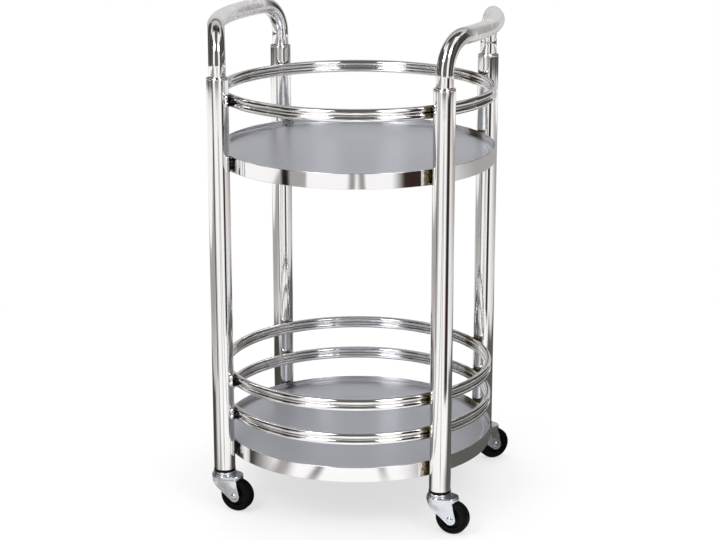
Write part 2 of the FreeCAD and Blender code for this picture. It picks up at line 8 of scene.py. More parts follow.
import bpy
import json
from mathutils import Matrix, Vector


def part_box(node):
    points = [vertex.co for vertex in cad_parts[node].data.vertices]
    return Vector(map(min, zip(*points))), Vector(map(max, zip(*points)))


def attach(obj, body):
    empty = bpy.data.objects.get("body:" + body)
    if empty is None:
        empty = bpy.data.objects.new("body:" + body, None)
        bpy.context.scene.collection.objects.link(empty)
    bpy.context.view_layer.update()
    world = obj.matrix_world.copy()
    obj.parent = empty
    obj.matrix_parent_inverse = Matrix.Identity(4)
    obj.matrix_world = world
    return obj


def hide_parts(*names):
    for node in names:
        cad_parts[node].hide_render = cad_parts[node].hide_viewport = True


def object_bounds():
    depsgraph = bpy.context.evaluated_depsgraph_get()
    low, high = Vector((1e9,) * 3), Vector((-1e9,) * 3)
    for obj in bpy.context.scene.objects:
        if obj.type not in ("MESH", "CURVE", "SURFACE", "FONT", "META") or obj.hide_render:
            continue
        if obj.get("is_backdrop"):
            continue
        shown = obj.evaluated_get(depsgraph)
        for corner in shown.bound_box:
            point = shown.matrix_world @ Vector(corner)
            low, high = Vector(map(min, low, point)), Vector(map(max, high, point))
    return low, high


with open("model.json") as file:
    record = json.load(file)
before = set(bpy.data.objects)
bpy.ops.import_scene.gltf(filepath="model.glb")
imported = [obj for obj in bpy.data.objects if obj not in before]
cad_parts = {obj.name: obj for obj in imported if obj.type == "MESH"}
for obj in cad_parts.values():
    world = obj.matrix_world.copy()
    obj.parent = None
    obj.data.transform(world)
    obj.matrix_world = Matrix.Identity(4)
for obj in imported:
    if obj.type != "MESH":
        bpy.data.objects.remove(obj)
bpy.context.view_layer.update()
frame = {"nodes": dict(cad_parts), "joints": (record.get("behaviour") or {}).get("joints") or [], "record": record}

# %% [markdown]
# ## Camera
# A long lens from a little above the top shelf keeps the posts nearly parallel, as in a catalogue picture. The
# camera is placed by an azimuth, an elevation and a distance round a target point, which is easier to read than a
# position and three angles.

# %% Camera
import json
import math

import bmesh
import bpy
from mathutils import Matrix, Vector

MM = 0.001
scene = bpy.context.scene
scene.view_settings.view_transform = "Standard"


def direction(azimuth, elevation):
    """Unit vector from the trolley. Azimuth 0 is straight in front, and grows to the right."""
    azimuth = math.radians(azimuth)
    elevation = math.radians(elevation)
    level = math.cos(elevation)
    return Vector((math.sin(azimuth) * level, -math.cos(azimuth) * level, math.sin(elevation)))


CAMERA_AZIMUTH = 15.26
CAMERA_ELEVATION = 15.83
CAMERA_DISTANCE = 2.9637
CAMERA_AIM = Vector((0.001, 0, 0.3469))
camera_data = bpy.data.cameras.new("camera")
camera_data.lens = 97.61
camera_data.sensor_width = 36
camera = bpy.data.objects.new("camera", camera_data)
camera_side = direction(CAMERA_AZIMUTH, CAMERA_ELEVATION)
camera.location = CAMERA_AIM + camera_side * CAMERA_DISTANCE
camera.rotation_euler = camera_side.to_track_quat("Z", "Y").to_euler()
scene.collection.objects.link(camera)
scene.camera = camera
print("camera", [round(part, 3) for part in camera.location])

# %% [markdown]
# ## Writing node trees as sums
# A finish is easier to read as "haze + 0.04 * smear" than as a heap of linked nodes. The class below wraps one
# socket, and Python's operators on it add the Math nodes. Every other node comes from its one method, node.

# %% Shader arithmetic
class Wire:
    """An output socket of a node tree, or the bare tree, that shader sums are written with."""

    def __init__(self, tree, socket=None):
        self.tree = tree
        self.socket = socket

    def node(self, kind, settings=None, sockets=None, out=0):
        """Add a node, set it up, then give its sockets values or wires."""
        made = self.tree.nodes.new(kind)
        for name, setting in (settings or {}).items():
            if name == "stops":
                set_stops(made.color_ramp.elements, setting)
            else:
                setattr(made, name, setting)
        for name, value in (sockets or {}).items():
            self.plug(made.inputs[name], value)
        return Wire(self.tree, made.outputs[out])

    def plug(self, socket, value):
        if isinstance(value, Wire):
            self.tree.links.new(value.socket, socket)
        else:
            socket.default_value = value

    def maths(self, operation, *values):
        return self.node("ShaderNodeMath", {"operation": operation}, dict(enumerate(values)))

    def __add__(self, other):
        return self.maths("ADD", self, other)

    def __sub__(self, other):
        return self.maths("SUBTRACT", self, other)

    def __rsub__(self, other):
        return self.maths("SUBTRACT", other, self)

    def __mul__(self, other):
        return self.maths("MULTIPLY", self, other)

    __radd__ = __add__
    __rmul__ = __mul__


def set_stops(elements, stops):
    """Give a ramp its (position, grey level) stops."""
    while len(elements) < len(stops):
        elements.new(0.5)
    for element, (position, level) in zip(elements, stops):
        element.position = position
        element.color = (level, level, level, 1)


def ramp(paint, wire, *stops):
    """Grey level between (position, grey level) stops."""
    return paint.node("ShaderNodeValToRGB", {"stops": stops}, {"Fac": wire})


print("shader arithmetic ready")

# %% [markdown]
# ## Studio
# Polished steel has hardly a colour of its own: it shows the room. So the room comes first, a white sky over a white
# floor. The camera and all reflections are shown both as pure white, whatever light falls on them. Only close to the
# trolley does the floor keep a share of its lit colour, so that it can hold a soft shadow.

# %% Sky and floor
world = bpy.data.worlds.new("studio")
world.use_nodes = True
scene.world = world
sky = Wire(world.node_tree)


def seen_white(paint):
    """1 for camera, glossy and transmission rays, which are shown the white background itself."""
    rays = [paint.node("ShaderNodeLightPath", out=name)
            for name in ("Is Camera Ray", "Is Glossy Ray", "Is Transmission Ray")]
    return rays[0] + rays[1] + rays[2]


SKY_LEVEL = 0.9
background = world.node_tree.nodes["Background"]
sky.plug(background.inputs["Color"], (1, 1, 1, 1))
sky.plug(background.inputs["Strength"], SKY_LEVEL + (1 - SKY_LEVEL) * seen_white(sky))


def stage_sheet(name, corners, material):
    """One flat four-cornered sheet of the studio."""
    sheet = bmesh.new()
    face = sheet.faces.new([sheet.verts.new(corner) for corner in corners])
    across = sheet.loops.layers.uv.new("across")
    for loop, spot in zip(face.loops, ((0, 0), (1, 0), (1, 1), (0, 1))):
        loop[across].uv = spot
    mesh = bpy.data.meshes.new(name)
    sheet.to_mesh(mesh)
    sheet.free()
    mesh.materials.append(material)
    thing = bpy.data.objects.new(name, mesh)
    scene.collection.objects.link(thing)
    thing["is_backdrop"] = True
    return thing


FLOOR_REACH = 14
SHADOW_RADIUS = 0.3
WHITE_RADIUS = 1.2
SHADOW_WHITE_SHARE = 0.62
floor_paint = bpy.data.materials.new("studio_floor")
floor_paint.use_nodes = True
floor_tree = Wire(floor_paint.node_tree)
floor_shader = floor_paint.node_tree.nodes["Principled BSDF"]
floor_tree.plug(floor_shader.inputs["Base Color"], (0.98, 0.98, 0.98, 1))
floor_tree.plug(floor_shader.inputs["Roughness"], 0.9)
floor_tree.plug(floor_shader.inputs["Specular IOR Level"], 0)
glow = floor_tree.node("ShaderNodeEmission", {}, {"Color": (1, 1, 1, 1), "Strength": 1.0})
lit = Wire(floor_paint.node_tree, floor_shader.outputs[0])
spot = floor_tree.node("ShaderNodeTexCoord", out="Object")
away = floor_tree.node("ShaderNodeVectorMath", {"operation": "LENGTH"}, {0: spot}, "Value")
white_share = floor_tree.node("ShaderNodeMapRange", {"interpolation_type": "SMOOTHSTEP"},
                              {"Value": away, "From Min": SHADOW_RADIUS, "From Max": WHITE_RADIUS,
                               "To Min": SHADOW_WHITE_SHARE, "To Max": 1.0})
shown = floor_tree.node("ShaderNodeMixShader", {}, {0: seen_white(floor_tree) * white_share, 1: lit, 2: glow})
floor_paint.node_tree.links.new(shown.socket, floor_paint.node_tree.nodes["Material Output"].inputs["Surface"])
stage_sheet("studio_floor", [(-FLOOR_REACH, -FLOOR_REACH, 0), (FLOOR_REACH, -FLOOR_REACH, 0),
                             (FLOOR_REACH, FLOOR_REACH, 0), (-FLOOR_REACH, FLOOR_REACH, 0)], floor_paint)
print("sky and floor ready")

# %% [markdown]
# ## Cards for the reflections
# In an all-white room polished tubes would vanish. Their dark lines come from cards that reflections see and nothing
# else does, so the cards cast no shadow and hide nothing. Two dark flags stand close by, left and right. Dark walls
# go round the set, with a bright gap on each side of the camera. The posts mirror the floor, so cards and paths lie
# there, and the tops of the rails and bends mirror the ceiling, which has a dark strip and a dark frame. Every card
# fades out at its edges, so that no reflection ends in a hard cut.

# %% Cards for the reflections
def card_paint(name, colour, side_fade, end_fade):
    """Plain glow of one colour, which fades out over these shares of the card's width and length."""
    paint = bpy.data.materials.new(name)
    paint.use_nodes = True
    tree = Wire(paint.node_tree)
    card = tree.node("ShaderNodeEmission", {}, {"Color": (*colour, 1), "Strength": 1.0})
    clear = tree.node("ShaderNodeBsdfTransparent")
    spot = tree.node("ShaderNodeUVMap", {"uv_map": "across"})
    across = tree.node("ShaderNodeSeparateXYZ", {}, {0: spot})
    along = tree.node("ShaderNodeSeparateXYZ", {}, {0: spot}, "Y")
    solid = (ramp(tree, across, (0, 0), (side_fade, 1), (1 - side_fade, 1), (1, 0))
             * ramp(tree, along, (0, 0), (end_fade, 1), (1 - end_fade, 1), (1, 0)))
    shown = tree.node("ShaderNodeMixShader", {}, {0: solid, 1: clear, 2: card})
    paint.node_tree.links.new(shown.socket, paint.node_tree.nodes["Material Output"].inputs["Surface"])
    return paint


CARDS = {
    "black": card_paint("card_black", (0.014, 0.012, 0.012), 0.28, 0.01),
    "brown": card_paint("card_brown", (0.036, 0.021, 0.018), 0.26, 0.01),
    "wall": card_paint("card_wall", (0.060, 0.054, 0.048), 0.04, 0.01),
    "front": card_paint("card_front", (0.125, 0.12, 0.115), 0.06, 0.01),
    "wall_grey": card_paint("card_wall_grey", (0.50, 0.50, 0.495), 0.08, 0.03),
    "path": card_paint("card_path", (0.33, 0.31, 0.31), 0.38, 0.05),
    "floor_grey": card_paint("card_floor_grey", (0.40, 0.385, 0.375), 0.36, 0.06),
    "floor_dark": card_paint("card_floor_dark", (0.065, 0.062, 0.055), 0.14, 0.16),
    "floor_side": card_paint("card_floor_side", (0.11, 0.11, 0.10), 0.14, 0.10),
    "ceiling": card_paint("card_ceiling", (0.54, 0.54, 0.55), 0.02, 0.02),
}
AHEAD = direction(CAMERA_AZIMUTH, 0)
RIGHT = direction(CAMERA_AZIMUTH + 90, 0)
CARD_HEIGHT = 2 * MM
PATH_HEIGHT = 3 * MM
CEILING = 4.6


def put_card(name, corners, card):
    """Card that only reflections see."""
    sheet = stage_sheet(name, corners, CARDS[card])
    sheet.visible_camera = False
    sheet.visible_shadow = False
    sheet.visible_diffuse = False
    sheet.visible_transmission = False


def put_level_card(name, spots, height, card):
    put_card(name, [(spot.x, spot.y, height) for spot in spots], card)


def card_sides(turn, width):
    """Directions to both sides of a card whose middle is at an angle right of the camera."""
    return direction(CAMERA_AZIMUTH + turn - width / 2, 0), direction(CAMERA_AZIMUTH + turn + width / 2, 0)


def stand_flag(name, turn, width, reach, low, high, card):
    """Upright card, its width given as an angle."""
    left, right = [side * reach for side in card_sides(turn, width)]
    put_card(name, [(left.x, left.y, low), (right.x, right.y, low),
                    (right.x, right.y, high), (left.x, left.y, high)], card)


def lay_card(name, turn, width, near, far, card):
    """Card on the floor from one distance to another, its width given as an angle."""
    left, right = card_sides(turn, width)
    put_level_card(name, [left * near, right * near, right * far, left * far], CARD_HEIGHT, card)


def lay_path(name, aside, near, far, near_width, far_width, card):
    """Strip on the floor that runs towards the camera, this far to the right of the trolley's middle."""
    spots = [AHEAD * near + RIGHT * (aside - near_width / 2), AHEAD * near + RIGHT * (aside + near_width / 2),
             AHEAD * far + RIGHT * (aside + far_width / 2), AHEAD * far + RIGHT * (aside - far_width / 2)]
    put_level_card(name, spots, PATH_HEIGHT, card)


def hang_card(name, corners, card):
    """Card under the ceiling, from corners given as (towards the camera, right of it)."""
    put_level_card(name, [AHEAD * out + RIGHT * aside for out, aside in corners], CEILING, card)


# name, degrees right of the camera, width in degrees, distance, foot, top, card
FLAGS = [
    ("flag_left_line", -54, 9, 0.85, 0, 0.55, "black"),
    ("flag_right", 42, 34, 0.85, 0, 0.55, "brown"),
    ("wall_back", 180, 70, 3.4, 0, 2.4, "wall_grey"),
    ("wall_back_high", 180, 70, 3.4, 2.4, 3.1, "wall"),
    ("wall_front", -3, 45, 3.0, 0.12, CEILING, "front"),
    ("wall_front_left", -61, 28, 3.0, 0.12, 3.6, "wall"),
    ("wall_left", -92, 34, 3.0, 0.12, 3.2, "wall"),
    ("wall_left_back", -126, 34, 3.0, 0.12, 3.0, "wall"),
    ("wall_front_right", 58, 34, 3.0, 0.12, 3.6, "wall"),
    ("wall_right", 92, 34, 3.0, 0.12, 3.2, "wall"),
    ("wall_right_back", 126, 34, 3.0, 0.12, 3.0, "wall"),
]
FLAGS += [(f"wall_far_{turn}", turn, 46, 4.6, 0.6, CEILING, "wall_grey") for turn in (90, 135, 180, 225, 270)]
for flag in FLAGS:
    stand_flag(*flag)
# name, degrees right of the camera, width in degrees, near end, far end, card
FLOOR_CARDS = [
    ("floor_left", -115, 150, 0.3, 6.5, "floor_grey"),
    ("floor_right", 122, 126, 0.3, 6.5, "floor_grey"),
]
for card in FLOOR_CARDS:
    lay_card(*card)
# name, distance right of the middle, near end, far end, width there, width at the far end, card
FLOOR_PATHS = [
    ("path_left", -0.2, 0.24, 3.0, 0.06, 0.36, "path"),
    ("path_right", 0.12, 0.34, 3.0, 0.06, 0.36, "path"),
    # The card under the trolley is painted shadow: a dark sheet that reflections show where the floor lies in the
    # trolley's shade.
    ("painted_shadow_under", 0.04, -0.45, 0.23, 0.56, 0.56, "floor_dark"),
    ("floor_left_near", -0.53, -0.7, 0.24, 0.56, 0.56, "floor_dark"),
    ("floor_right_near", 0.56, -1.1, 0.42, 0.76, 0.76, "floor_side"),
]
for path in FLOOR_PATHS:
    lay_path(*path)
# name, corners, card
CEILING_CARDS = [
    ("ceiling_back", [(-5, -6), (-5, 6), (-1.8, 6), (-1.8, -6)], "ceiling"),
    ("ceiling_middle", [(-1.8, -1.4), (-1.8, 1.1), (3.2, 1.1), (3.2, -1.4)], "front"),
    ("ceiling_frame_top", [(-1.8, -4), (-1.8, 4), (0.0, 4), (0.0, -4)], "black"),
    ("ceiling_frame_left", [(-0.4, -5.6), (-0.4, -3.4), (5, -3.4), (5, -5.6)], "black"),
    ("ceiling_frame_right", [(-0.4, 3.4), (-0.4, 5.6), (5, 5.6), (5, 3.4)], "black"),
]
for card in CEILING_CARDS:
    hang_card(*card)
print("flags", len(FLAGS), "floor cards", len(FLOOR_CARDS) + len(FLOOR_PATHS), "ceiling cards", len(CEILING_CARDS))

# %% [markdown]
# ## Soft lamps
# Two square lamps stand high in front of the two bright gaps and leave highlights on the steel. The third hangs
# behind the trolley, higher still: it only adds light, and no reflection shows it.

# %% Soft lamps
def soft_lamp(name, turn, elevation, reach, width, power, shines):
    """Square lamp aimed at the trolley; it shines back from steel or not."""
    data = bpy.data.lights.new(name, "AREA")
    data.size = width
    data.energy = power
    lamp = bpy.data.objects.new(name, data)
    side = direction(CAMERA_AZIMUTH + turn, elevation)
    lamp.location = CAMERA_AIM + side * reach
    lamp.rotation_euler = side.to_track_quat("Z", "Y").to_euler()
    lamp.visible_glossy = shines
    scene.collection.objects.link(lamp)


soft_lamp("lamp_left", turn=-36, elevation=42, reach=2.7, width=0.9, power=16, shines=True)
soft_lamp("lamp_right", turn=31, elevation=42, reach=2.7, width=0.8, power=10, shines=True)
soft_lamp("lamp_top", turn=170, elevation=70, reach=2.4, width=1.2, power=8, shines=False)
print("lamps", len(bpy.data.lights))

# %% [markdown]
# ## Finishes
# Each finish is one Principled shader. What the eye reads as "real" is not its colour but small changes of gloss
# and height, so each finish has its own grain at the size of the real one, worked out from Object coordinates.

# %% How a finish is made
def make_finish(name, recipe):
    """A material with one Principled shader; the recipe gives what its sockets hold."""
    material = bpy.data.materials.new(name)
    material.use_nodes = True
    paint = Wire(material.node_tree)
    shader = material.node_tree.nodes["Principled BSDF"]
    for socket, value in recipe(paint).items():
        paint.plug(shader.inputs[socket], value)
    return material


def grain(paint, scale, stretch=(1, 1, 1), detail=3, roughness=0.55):
    """Noise on Object coordinates, squeezed along chosen axes."""
    place = paint.node("ShaderNodeTexCoord", out="Object")
    placed = paint.node("ShaderNodeMapping", {}, {"Vector": place, "Scale": stretch})
    return paint.node("ShaderNodeTexNoise", {}, {"Vector": placed, "Scale": scale, "Detail": detail,
                                                 "Roughness": roughness})


def between(paint, mask, low, high):
    """A colour from low to high by a mask. Each colour is three numbers or a wire."""
    ends = [end if isinstance(end, Wire) else (*end, 1) for end in (low, high)]
    return paint.node("ShaderNodeMix", {"data_type": "RGBA"}, {0: mask, 6: ends[0], 7: ends[1]}, 2)


def relief(paint, height, depth):
    """Normal bumped by a height that runs from 0 to 1, this many metres deep."""
    return paint.node("ShaderNodeBump", {}, {"Height": height, "Distance": depth, "Strength": 1.0})


print("finish helpers ready")

# %% [markdown]
# ## Polished steel
# The tubes are stainless steel, buffed to a mirror. A real buffed tube isn't a perfect mirror: it is a little wavy
# along its length, and carries a thin haze, some prints and hair-fine buffing lines. The waves bend the reflections,
# the haze and prints soften them in patches, and the lines run round the tube.
#
# Two finishes carry marks of their own. The rails and bands have marks where they are welded to the posts, larger
# and more straw-coloured towards +X: a straw heat tint round a near-black core, which is painted shade in the
# joints. The bars of the handles are dulled by hands, so they mirror less.

# %% Polished steel
WELD_SPOT = (0.167, 0.151, 0)
BAR_END = 0.094
BEND_START = 0.124


def weld_tint_and_joint_shade(paint):
    """Mask and colour of the marks close to the posts: straw heat tint round a near-black core that is painted shade
    in the joints.
    """
    place = paint.node("ShaderNodeTexCoord", out="Object")
    out = paint.node("ShaderNodeVectorMath", {"operation": "ABSOLUTE"}, {0: place})
    out = paint.node("ShaderNodeVectorMath", {"operation": "MULTIPLY"}, {0: out, 1: (1, 1, 0)})
    off = paint.node("ShaderNodeVectorMath", {"operation": "DISTANCE"}, {0: out, 1: WELD_SPOT}, "Value")
    blotch = grain(paint, 260, detail=4, roughness=0.7)
    side = paint.node("ShaderNodeSeparateXYZ", {}, {0: place}, "X")
    # This mask is painted shade in the joints between rails and posts: where it is full it gives the near-black
    # colour below.
    burnt_and_shaded = ramp(paint, off * 20 + blotch * 0.30 - side * 0.5, (0.60, 1), (0.70, 0))
    fleck = grain(paint, 520, detail=4, roughness=0.7)
    straw = ramp(paint, off * 12 + fleck * 0.9 + side * 0.9, (0.80, 0), (0.90, 1))
    # The near-black colour is painted shade in the joints, and the straw colour is heat tint.
    colour = between(paint, straw, (0.020, 0.016, 0.013), (0.42, 0.36, 0.235))
    return burnt_and_shaded, colour


def faint_tint(paint):
    """Mask and colour of the warm tone that steel keeps away from any weld."""
    return grain(paint, 7, detail=2) * 0.06, (0.20, 0.135, 0.075)


def hand_dulled(paint):
    """1 on the bars of the handles, which hands have dulled, and 0 on their bends and legs."""
    place = paint.node("ShaderNodeTexCoord", out="Object")
    away = paint.node("ShaderNodeVectorMath", {"operation": "ABSOLUTE"}, {0: place})
    along = paint.node("ShaderNodeSeparateXYZ", {}, {0: away}, "Y")
    return paint.node("ShaderNodeMapRange", {"interpolation_type": "SMOOTHSTEP"},
                      {"Value": along, "From Min": BAR_END, "From Max": BEND_START, "To Min": 1.0, "To Max": 0.0})


def polished(lines, welded=False, held=False):
    """Mirror steel whose buffing lines are squeezed along the given axes."""
    def recipe(paint):
        # On rails and bands this mark mixes straw heat tint with painted shade in the joints.
        tint_and_joint_shade, tint_and_shade_colour = weld_tint_and_joint_shade(paint) if welded else faint_tint(paint)
        waves = grain(paint, 16 if welded else 22, detail=1)
        buffed = grain(paint, 60, lines, detail=4)
        haze = ramp(paint, grain(paint, 9, detail=4, roughness=0.7), (0.45, 0), (0.75, 1))
        prints = ramp(paint, grain(paint, 55, detail=5, roughness=0.65), (0.55, 0), (0.72, 1))
        gloss = 0.055 + haze * 0.04 + prints * 0.03 + buffed * 0.02 + tint_and_joint_shade * 0.15
        metal = 1.0
        if held:
            dulled = hand_dulled(paint)
            gloss = gloss + dulled * (0.18 + prints * 0.12)
            metal = 1 - dulled * (0.36 + prints * 0.34)
        return {
            "Base Color": between(paint, tint_and_joint_shade, (0.93, 0.918, 0.914), tint_and_shade_colour),
            "Metallic": metal,
            "Roughness": gloss,
            "Normal": relief(paint, waves * 0.8 + buffed * 0.012, 0.22 * MM),
        }
    return recipe


POST_STEEL = make_finish("polished_post", polished((1, 1, 18)))
HANDLE_STEEL = make_finish("polished_handle", polished((1, 1, 18), held=True))
RING_STEEL = make_finish("polished_ring", polished((1, 1, 14), welded=True))
print("finishes", POST_STEEL.name, HANDLE_STEEL.name, RING_STEEL.name)

# %% [markdown]
# ## Satin steel
# The two shelves are sheet, left with a fine straight brushed grain, so they show the room only as soft light and
# long smears. Noise squeezed hard across the grain gives the lines, and the same noise drives gloss and height.

# %% Satin steel
def satin(paint):
    lines = grain(paint, 30, (1.2, 42, 1), detail=5, roughness=0.7)
    cloud = grain(paint, 5)
    scuffs = ramp(paint, grain(paint, 40, detail=6, roughness=0.75), (0.58, 0), (0.75, 1))
    return {
        "Base Color": between(paint, lines * 0.6 + cloud * 0.4, (0.635, 0.652, 0.715), (0.715, 0.732, 0.79)),
        "Metallic": 0.82,
        "Roughness": 0.28 + lines * 0.08 + cloud * 0.05 + scuffs * 0.04,
        "Normal": relief(paint, lines, 0.025 * MM),
    }


SATIN_STEEL = make_finish("satin_shelf", satin)
print("finish", SATIN_STEEL.name)

# %% [markdown]
# ## Zinc plate, plastic and rubber
# The caster fittings are pressed steel with a bright, slightly blue zinc plate that dulls in clouds. The sockets and
# wheel centres are black moulded plastic with a fine spark-eroded grain, and the tyres are matte rubber that picks
# up dust.

# %% Zinc plate, plastic and rubber
def zinc(paint):
    cloud = grain(paint, 90, detail=4, roughness=0.65)
    spots = ramp(paint, grain(paint, 420), (0.5, 0), (0.7, 1))
    return {
        "Base Color": between(paint, cloud, (0.58, 0.61, 0.66), (0.92, 0.945, 0.975)),
        "Metallic": 1.0,
        "Roughness": 0.10 + cloud * 0.11 + spots * 0.05,
        "Normal": relief(paint, cloud * 0.5 + spots * 0.1, 0.03 * MM),
    }


def plastic(paint):
    pits = grain(paint, 1500, detail=2)
    worn = ramp(paint, grain(paint, 120, detail=5, roughness=0.7), (0.5, 0), (0.75, 1))
    return {
        "Base Color": between(paint, worn, (0.004, 0.004, 0.004), (0.011, 0.011, 0.012)),
        "Roughness": 0.34 + pits * 0.12 + worn * 0.12,
        "Specular IOR Level": 0.14,
        "Normal": relief(paint, pits, 0.03 * MM),
    }


def rubber(paint):
    dust = ramp(paint, grain(paint, 70, detail=6, roughness=0.7), (0.48, 0), (0.78, 1))
    fine = grain(paint, 900)
    return {
        "Base Color": between(paint, dust, (0.003, 0.003, 0.003), (0.010, 0.010, 0.009)),
        "Roughness": 0.50 + dust * 0.2 + fine * 0.08,
        "Specular IOR Level": 0.08,
        "Normal": relief(paint, fine, 0.04 * MM),
    }


ZINC_PLATE = make_finish("bright_zinc", zinc)
BLACK_PLASTIC = make_finish("moulded_black", plastic)
RUBBER = make_finish("black_rubber", rubber)
print("finishes", ZINC_PLATE.name, BLACK_PLASTIC.name, RUBBER.name)

# %% [markdown]
# ## How a piece is finished
# Each new piece is a bmesh. Before it becomes an object its doubles are merged and its faces are turned outwards,
# then it is shaded smooth. A Weighted Normal modifier keeps flat faces flat beside their small rounded edges,
# which matters on a mirror. The piece rides on the body of the node that it stands for.

# %% Finish a piece
BODY_OF = {node: body for body, nodes in frame["record"]["behaviour"]["bodies"].items() for node in nodes}


def finish_piece(form, node, material):
    """Turn a bmesh into a smooth object that stands for a CAD node."""
    bmesh.ops.remove_doubles(form, verts=form.verts, dist=1e-6)
    bmesh.ops.recalc_face_normals(form, faces=form.faces)
    mesh = bpy.data.meshes.new("looks_" + node)
    form.to_mesh(mesh)
    form.free()
    mesh.shade_smooth()
    mesh.materials.append(material)
    piece = bpy.data.objects.new("looks_" + node, mesh)
    scene.collection.objects.link(piece)
    weighted = piece.modifiers.new("flat_faces_flat", "WEIGHTED_NORMAL")
    weighted.keep_sharp = True
    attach(piece, BODY_OF[node])
    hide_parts(node)
    return piece


# %% [markdown]
# ## Turned forms
# Posts, collars, shelves, cups and wheels are all turned forms. An outline is drawn as a chain of corners in the
# XZ plane, each corner is rounded by the bevel operator while it is still a flat chain, and the spin operator
# sweeps the chain round Z. Rounding first is cheaper than beveling a finished ring, and it never slips.

# %% Turned forms
CORNERS = ("front_left", "front_right", "rear_left", "rear_right")


def middle(node):
    low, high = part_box(node)
    return (low + high) / 2


def outline(corners, closed):
    """Chain of edges in the XZ plane through (out, up, rounding) corners, in metres."""
    form = bmesh.new()
    points = [form.verts.new((out, 0, up)) for out, up, rounding in corners]
    for start, end in zip(points, points[1:] + points[:1] if closed else points[1:]):
        form.edges.new((start, end))
    for point, (out, up, rounding) in zip(points, corners):
        if rounding > 0:
            bmesh.ops.bevel(form, geom=[point], offset=rounding, offset_type="OFFSET", segments=4, profile=0.5,
                            affect="VERTICES", material=-1)
    return form


def turned(corners, steps=96, closed=True):
    """Turn an outline once round Z. An open outline starts and ends on the axis."""
    form = outline(corners, closed)
    bmesh.ops.spin(form, geom=form.verts[:] + form.edges[:], cent=(0, 0, 0), axis=(0, 0, 1),
                   angle=2 * math.pi, steps=steps, use_merge=True)
    return form


def in_mm(*corners):
    """Corners given in millimetres, as a list in metres."""
    return [tuple(size * MM for size in corner) for corner in corners]


def both_sides(*corners):
    """Whole outline in metres, from the corners of one half in millimetres. The other half is its mirror image."""
    half = in_mm(*corners)
    return half + [(out, -up, rounding) for out, up, rounding in reversed(half)]


def moved(form, *moves):
    """Apply moves one after the other to a whole form."""
    for move in moves:
        bmesh.ops.transform(form, matrix=move, verts=form.verts)
    return form


print("corners", CORNERS)

# %% [markdown]
# ## Posts and collars
# A post is a plain drawn tube. The collar on its top end steps down to the thinner handle tube, and its soft lip
# catches a bright spot. Both are turned forms, and their sizes are read from the CAD nodes.

# %% Posts and collars
TUBE_WALL = 1.2 * MM
HANDLE_RADIUS = 12.5 * MM
FIT_GAP = 0.1 * MM
for corner in CORNERS:
    low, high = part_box(f"post_{corner}")
    radius = (high.x - low.x) / 2
    bore = radius - TUBE_WALL
    centre = middle(f"post_{corner}")
    place = Matrix.Translation((centre.x, centre.y, 0))
    post = turned([(bore, low.z, 0.2 * MM), (radius, low.z, 0.3 * MM), (radius, high.z, 0.4 * MM),
                   (bore, high.z, 0.2 * MM)], steps=128)
    finish_piece(moved(post, place), f"post_{corner}", POST_STEEL)

    foot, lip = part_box(f"collar_{corner}")
    hole = HANDLE_RADIUS + FIT_GAP
    spigot = bore - FIT_GAP
    collar = turned([(hole, foot.z, 0.3 * MM), (spigot, foot.z, 0.5 * MM), (spigot, high.z, 0),
                     (radius - 0.2 * MM, high.z, 0.3 * MM), (radius, high.z + 0.8 * MM, 0.4 * MM),
                     (radius, lip.z, 2.2 * MM), (hole, lip.z, 0.5 * MM)], steps=128)
    finish_piece(moved(collar, place), f"collar_{corner}", POST_STEEL)
print("posts", len(CORNERS), "radius", round(radius, 4))

# %% [markdown]
# ## Handles
# Each handle is one tube, bent twice in upright planes and bowed outward between the bends. A circle at the top of
# the front leg is extruded down to the leg's foot. It is also spun through the first bend, swept along the bow and
# spun through the second bend, and the last circle is extruded down the rear leg. So the tube keeps its round
# section all the way.

# %% Handles
BEND_RADIUS = 48 * MM
SPLAY = math.radians(20)


def of_kind(parts, kind):
    return [part for part in parts if isinstance(part, kind)]


def drop_leg(form, ring, length):
    """Extrude a ring straight down."""
    grown = bmesh.ops.extrude_edge_only(form, edges=of_kind(ring, bmesh.types.BMEdge))["geom"]
    bmesh.ops.translate(form, vec=(0, 0, -length), verts=of_kind(grown, bmesh.types.BMVert))


def bent_handle(node, side):
    """Tube from the foot of the front leg to the foot of the rear leg, on the right or mirrored to the left."""
    low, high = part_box(node)
    post = middle("post_front_right")
    bar = high.z - HANDLE_RADIUS
    leg_top = bar - BEND_RADIUS
    bend_across = post.x + BEND_RADIUS * math.sin(SPLAY)
    bend_deep = abs(post.y) - BEND_RADIUS * math.cos(SPLAY)
    bow_centre = bend_across - bend_deep / math.tan(SPLAY)
    turns = [
        ((bend_across, -bend_deep, leg_top), (-math.cos(SPLAY), math.sin(SPLAY), 0), math.pi / 2, 28),
        ((bow_centre, 0, bar), (0, 0, 1), 2 * SPLAY, 40),
        ((bend_across, bend_deep, leg_top), (-math.cos(SPLAY), -math.sin(SPLAY), 0), math.pi / 2, 28),
    ]

    form = bmesh.new()
    bmesh.ops.create_circle(form, cap_ends=False, segments=64, radius=HANDLE_RADIUS)
    moved(form, Matrix.Translation((post.x, post.y, leg_top)))
    ring = form.verts[:] + form.edges[:]
    drop_leg(form, ring, leg_top - low.z)
    for centre, axis, angle, steps in turns:
        made = bmesh.ops.spin(form, geom=ring, cent=centre, axis=axis, angle=angle, steps=steps)
        ring = of_kind(made["geom_last"], (bmesh.types.BMVert, bmesh.types.BMEdge))
    drop_leg(form, ring, leg_top - low.z)
    piece = finish_piece(moved(form, Matrix.Scale(side, 4, (1, 0, 0))), node, HANDLE_STEEL)
    wall = piece.modifiers.new("tube_wall", "SOLIDIFY")
    wall.thickness = TUBE_WALL
    wall.offset = -1
    return piece


for node, side in (("handle_left", -1), ("handle_right", 1)):
    piece = bent_handle(node, side)

# %% [markdown]
# ## Ring rails
# Six hoops of thin tube stand in touching pairs. A hoop is a small circle spun once round the trolley's axis.

